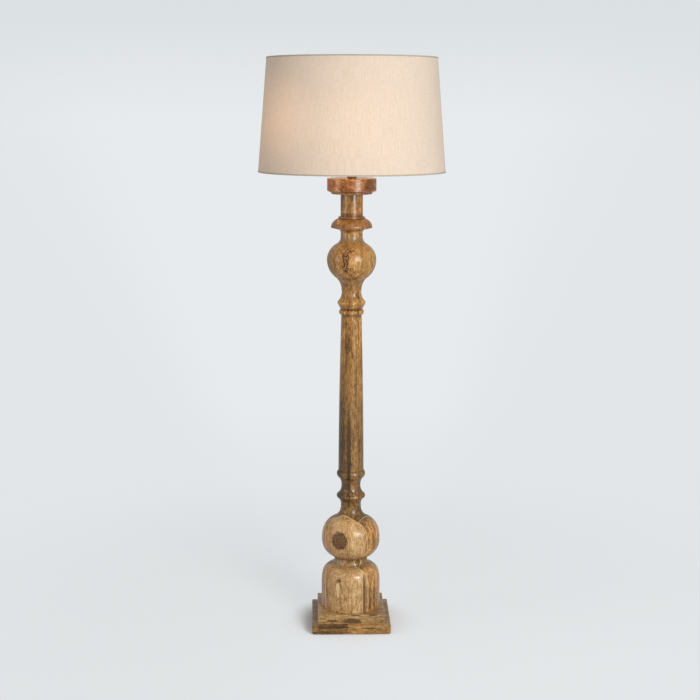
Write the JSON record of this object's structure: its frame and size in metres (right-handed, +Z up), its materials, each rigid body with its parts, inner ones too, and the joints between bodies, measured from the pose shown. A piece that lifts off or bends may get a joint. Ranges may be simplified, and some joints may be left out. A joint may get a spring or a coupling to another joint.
{
  "type": "candlestick floor lamp",
  "caption": "Tall turned wooden candlestick floor lamp with a stepped square plinth and a tapered linen drum shade around a screw-in bulb.",
  "frame": {"origin": "on the floor under the middle of the plinth", "axes": "+Z up along the turned stand, -Y towards the front of the lamp, +X to its right"},
  "size_m": [0.4999, 0.5, 1.5557],
  "materials": {
    "felt": "matte",
    "wood_plinth": "satin",
    "wood_step": "satin",
    "wood_pale": "matte",
    "iron": "matte",
    "zinc": "satin",
    "black_rubber": "matte",
    "wood_honey": "satin",
    "wood_brown": "satin",
    "wood_dark": "satin",
    "wood_red": "satin",
    "dark_metal": "satin",
    "aged_brass": "satin",
    "core_plastic": "matte",
    "brass": "satin",
    "switch_plastic": "gloss",
    "bulb_metal": "satin",
    "bulb_glass": "clear",
    "filament": "satin",
    "linen": "woven",
    "liner": "matte",
    "linen_hem": "woven",
    "white_wire": "satin"
  },
  "bodies": {
    "stand": {"foot_pads": "felt", "plinth_base": "wood_plinth", "plinth_step": "wood_step", "tier_dowels": "wood_pale", "base_weight": "iron", "weight_screws": "zinc", "cord_grommet": "black_rubber", "rod_nut": "zinc", "rod_washer": "zinc", "threaded_rod": "zinc", "lower_bell": "wood_honey", "lower_ball": "wood_honey", "column": "wood_brown", "upper_ball": "wood_dark", "candle_cup": "wood_brown", "drip_pan": "wood_red", "neck_spacer": "aged_brass", "holder_cap": "dark_metal", "holder_skirt": "dark_metal", "holder_core": "core_plastic", "terminal_screws": "brass", "screw_shell": "brass", "centre_contact": "brass", "lower_shade_ring": "dark_metal"},
    "shade": {"shade_linen": "linen", "shade_liner": "liner", "bottom_hem": "linen_hem", "top_hem": "linen_hem", "shade_top_ring": "white_wire", "shade_bottom_ring": "white_wire", "shade_fitting": "white_wire", "shade_arms": "white_wire"},
    "clamp_ring": {"upper_shade_ring": "dark_metal"},
    "bulb": {"bulb_contact": "bulb_metal", "bulb_cap": "bulb_metal", "bulb_glass": "bulb_glass", "bulb_stem": "bulb_glass", "bulb_filaments": "filament"},
    "switch": {"switch_bar": "switch_plastic"}
  },
  "joints": [
    {"name": "shade_turn", "type": "hinge", "parent": "stand", "child": "shade", "pos_m": [0, 0, 1.3168], "axis": [0, 0, 1], "continuous": true},
    {"name": "clamp_ring_turn", "type": "hinge", "parent": "stand", "child": "clamp_ring", "pos_m": [0, 0, 1.3215], "axis": [0, 0, 1], "range_deg": [0, 1440]},
    {"name": "bulb_turn", "type": "hinge", "parent": "stand", "child": "bulb", "pos_m": [0, 0, 1.33], "axis": [0, 0, 1], "range_deg": [0, 1080]},
    {"name": "switch_slide", "type": "slide", "parent": "stand", "child": "switch", "axis": [1, 0, 0], "range_m": [0, 0.006]}
  ]
}
